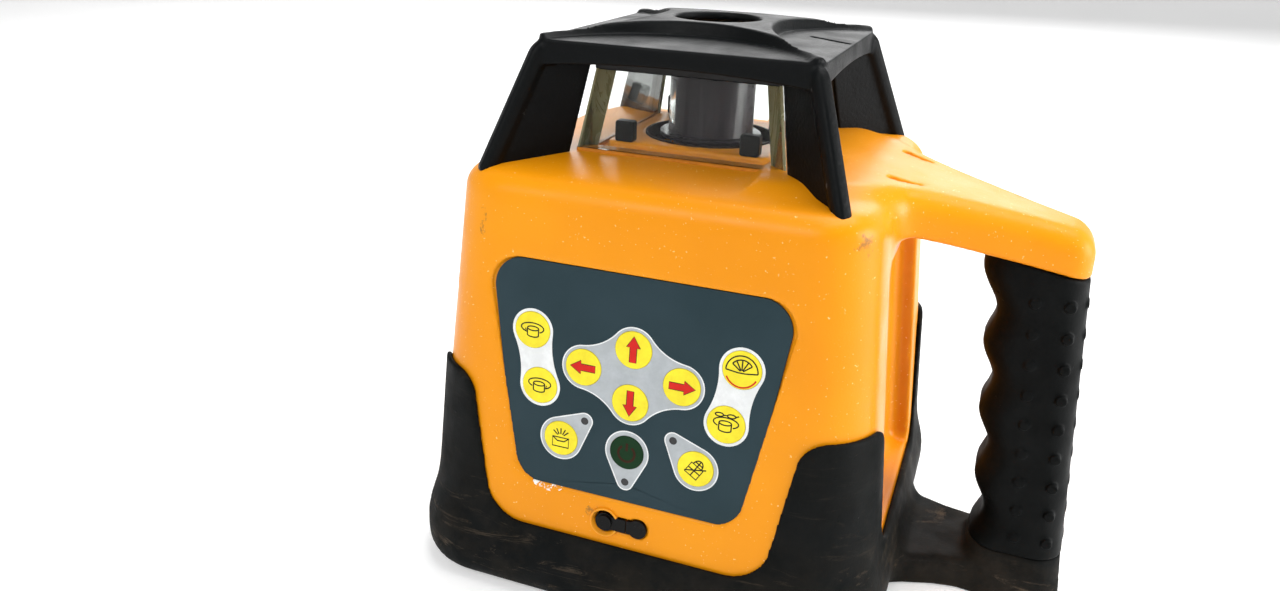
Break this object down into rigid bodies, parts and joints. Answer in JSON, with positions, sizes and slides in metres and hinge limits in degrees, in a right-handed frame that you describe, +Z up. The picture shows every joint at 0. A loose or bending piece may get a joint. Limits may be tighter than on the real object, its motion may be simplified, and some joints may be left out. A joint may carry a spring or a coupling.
{
  "type": "rotating laser level",
  "caption": "Self-levelling rotating laser with glass lantern under a black cage, square housing with keypad, rubber boot, side handle and tripod threads.",
  "frame": {"origin": "mouth of the tripod thread, in the plane that the instrument stands on", "axes": "+X towards the handle, -Y out of the keypad, +Z up along the rotor axis"},
  "size_m": [0.2233, 0.163, 0.1897],
  "materials": {
    "housing_plastic": "textured moulded ABS, orange yellow",
    "boot_rubber": "moulded rubber, scuffed",
    "grip_rubber": "studded soft rubber",
    "cage_plastic": "black glass-filled nylon, fine texture",
    "small_black_plastic": "black moulded plastic",
    "window_glass": "clear float glass, green edge",
    "seal_sealant": "translucent green-grey sealant",
    "gasket_foam": "closed-cell foam",
    "plate_aluminium": "cast and machined",
    "thread_brass": "turned",
    "spine_steel": "drawn bar",
    "screw_steel": "zinc plated",
    "overlay_film": "printed polyester overlay, slate blue",
    "key_yellow": "printed yellow key dome",
    "key_green": "printed dark green key dome",
    "led_lens": "smoked LED lens",
    "board_green": "solder-masked circuit board",
    "cell_sleeve": "shrink sleeve",
    "contact_nickel": "nickel plated spring contact",
    "box_plastic": "black moulded plastic",
    "frame_alloy": "die cast",
    "pin_steel": "ground pin",
    "bearing_steel": "ground bearing ring",
    "tube_alloy": "anodised dark",
    "optic_glass": "polished optical glass",
    "rotor_black": "purple-black anodised drum",
    "pulley_plastic": "acetal",
    "motor_can": "plated can",
    "belt_rubber": "flat belt"
  },
  "bodies": {
    "housing": {"main_housing": "housing_plastic", "rubber_boot": "boot_rubber", "handle_foot": "boot_rubber", "handle_grip": "grip_rubber", "handle_spine": "spine_steel", "base_plate": "plate_aluminium", "tripod_insert": "thread_brass", "side_insert": "thread_brass", "top_cage": "cage_plastic", "window_panes": "window_glass", "window_seals": "seal_sealant", "window_gaskets": "gasket_foam", "window_clips": "small_black_plastic", "dust_ring": "small_black_plastic", "keypad_overlay": "overlay_film", "status_leds": "led_lens", "keypad_board": "board_green", "main_board": "board_green", "buzzer": "small_black_plastic", "charge_socket": "small_black_plastic", "socket_cover_anchor": "boot_rubber", "battery_box": "box_plastic", "battery_cells": "cell_sleeve", "battery_contacts": "contact_nickel", "door_hinge_pin": "pin_steel", "housing_screws": "screw_steel", "gimbal_frame": "frame_alloy", "frame_pins": "pin_steel", "frame_stepper": "motor_can"},
    "battery_door": {"battery_door": "housing_plastic"},
    "door_latch": {"door_latch": "small_black_plastic"},
    "socket_cover": {"socket_cover": "boot_rubber"},
    "gimbal_ring": {"gimbal_ring": "frame_alloy", "ring_pins": "pin_steel", "tube_stepper": "motor_can"},
    "laser_tube": {"laser_tube": "tube_alloy", "rotor_bearings": "bearing_steel", "collimator_lens": "optic_glass", "laser_module": "small_black_plastic", "level_vials": "optic_glass", "drive_motor": "motor_can", "drive_belt": "belt_rubber"},
    "rotor": {"rotor_head": "rotor_black", "pentaprism": "optic_glass", "rotor_window": "optic_glass", "rotor_pulley": "pulley_plastic"},
    "motor_pulley": {"motor_pulley": "pulley_plastic"},
    "frame_stepper_rod": {"frame_stepper_rod": "pin_steel"},
    "tube_stepper_rod": {"tube_stepper_rod": "pin_steel"},
    "key_spin_fast": {"key_spin_fast": "key_yellow"},
    "key_spin_slow": {"key_spin_slow": "key_yellow"},
    "key_scan_fan": {"key_scan_fan": "key_yellow"},
    "key_scan_step": {"key_scan_step": "key_yellow"},
    "key_arrow_up": {"key_arrow_up": "key_yellow"},
    "key_arrow_down": {"key_arrow_down": "key_yellow"},
    "key_arrow_left": {"key_arrow_left": "key_yellow"},
    "key_arrow_right": {"key_arrow_right": "key_yellow"},
    "key_beam": {"key_beam": "key_yellow"},
    "key_power": {"key_power": "key_green"},
    "key_tilt_alarm": {"key_tilt_alarm": "key_yellow"}
  },
  "joints": [
    {"name": "gimbal_roll", "type": "hinge", "parent": "housing", "child": "gimbal_ring", "pos_m": [0, 0, 0.118], "axis": [1, 0, 0], "range_deg": [-5, 5]},
    {"name": "gimbal_pitch", "type": "hinge", "parent": "gimbal_ring", "child": "laser_tube", "pos_m": [0, 0, 0.118], "axis": [0, 1, 0], "range_deg": [-5, 5]},
    {"name": "rotor_spin", "type": "hinge", "parent": "laser_tube", "child": "rotor", "pos_m": [0, 0, 0.12], "axis": [0, 0, 1], "continuous": true},
    {"name": "motor_spin", "type": "hinge", "parent": "laser_tube", "child": "motor_pulley", "pos_m": [-0.01662, -0.01662, 0.13], "axis": [0, 0, 1], "continuous": true},
    {"name": "frame_stepper_travel", "type": "slide", "parent": "housing", "child": "frame_stepper_rod", "axis": [0, 0, 1], "range_m": [-0.0026, 0.0026]},
    {"name": "tube_stepper_travel", "type": "slide", "parent": "gimbal_ring", "child": "tube_stepper_rod", "axis": [0, 0, 1], "range_m": [-0.0026, 0.0026]},
    {"name": "battery_door_hinge", "type": "hinge", "parent": "housing", "child": "battery_door", "pos_m": [0, 0.07431, 0.0335], "axis": [-1, 0, 0], "range_deg": [0, 110]},
    {"name": "door_latch_turn", "type": "hinge", "parent": "battery_door", "child": "door_latch", "pos_m": [0, 0.07226, 0.074], "axis": [0, 0.996, 0.0896], "range_deg": [0, 90]},
    {"name": "socket_cover_flap", "type": "hinge", "parent": "housing", "child": "socket_cover", "pos_m": [0.00165, -0.07616, 0.034], "axis": [0, 0.0896, 0.996], "range_deg": [0, 120]},
    {"name": "key_spin_fast_press", "type": "slide", "parent": "housing", "child": "key_spin_fast", "axis": [0, 0.996, -0.0896], "range_m": [0, 0.0005], "stiffness_N_per_m": 2500, "springref_m": -0.0002},
    {"name": "key_spin_slow_press", "type": "slide", "parent": "housing", "child": "key_spin_slow", "axis": [0, 0.996, -0.0896], "range_m": [0, 0.0005], "stiffness_N_per_m": 2500, "springref_m": -0.0002},
    {"name": "key_scan_fan_press", "type": "slide", "parent": "housing", "child": "key_scan_fan", "axis": [0, 0.996, -0.0896], "range_m": [0, 0.0005], "stiffness_N_per_m": 2500, "springref_m": -0.0002},
    {"name": "key_scan_step_press", "type": "slide", "parent": "housing", "child": "key_scan_step", "axis": [0, 0.996, -0.0896], "range_m": [0, 0.0005], "stiffness_N_per_m": 2500, "springref_m": -0.0002},
    {"name": "key_arrow_up_press", "type": "slide", "parent": "housing", "child": "key_arrow_up", "axis": [0, 0.996, -0.0896], "range_m": [0, 0.0005], "stiffness_N_per_m": 2500, "springref_m": -0.0002},
    {"name": "key_arrow_down_press", "type": "slide", "parent": "housing", "child": "key_arrow_down", "axis": [0, 0.996, -0.0896], "range_m": [0, 0.0005], "stiffness_N_per_m": 2500, "springref_m": -0.0002},
    {"name": "key_arrow_left_press", "type": "slide", "parent": "housing", "child": "key_arrow_left", "axis": [0, 0.996, -0.0896], "range_m": [0, 0.0005], "stiffness_N_per_m": 2500, "springref_m": -0.0002},
    {"name": "key_arrow_right_press", "type": "slide", "parent": "housing", "child": "key_arrow_right", "axis": [0, 0.996, -0.0896], "range_m": [0, 0.0005], "stiffness_N_per_m": 2500, "springref_m": -0.0002},
    {"name": "key_beam_press", "type": "slide", "parent": "housing", "child": "key_beam", "axis": [0, 0.996, -0.0896], "range_m": [0, 0.0005], "stiffness_N_per_m": 2500, "springref_m": -0.0002},
    {"name": "key_power_press", "type": "slide", "parent": "housing", "child": "key_power", "axis": [0, 0.996, -0.0896], "range_m": [0, 0.0005], "stiffness_N_per_m": 2500, "springref_m": -0.0002},
    {"name": "key_tilt_alarm_press", "type": "slide", "parent": "housing", "child": "key_tilt_alarm", "axis": [0, 0.996, -0.0896], "range_m": [0, 0.0005], "stiffness_N_per_m": 2500, "springref_m": -0.0002}
  ],
  "couplings": [
    {"joint": "motor_spin", "follows": "rotor_spin", "ratio": 2.75},
    {"joint": "frame_stepper_travel", "follows": "gimbal_roll", "m_per_rad": 0.026966},
    {"joint": "tube_stepper_travel", "follows": "gimbal_pitch", "m_per_rad": -0.024045}
  ]
}
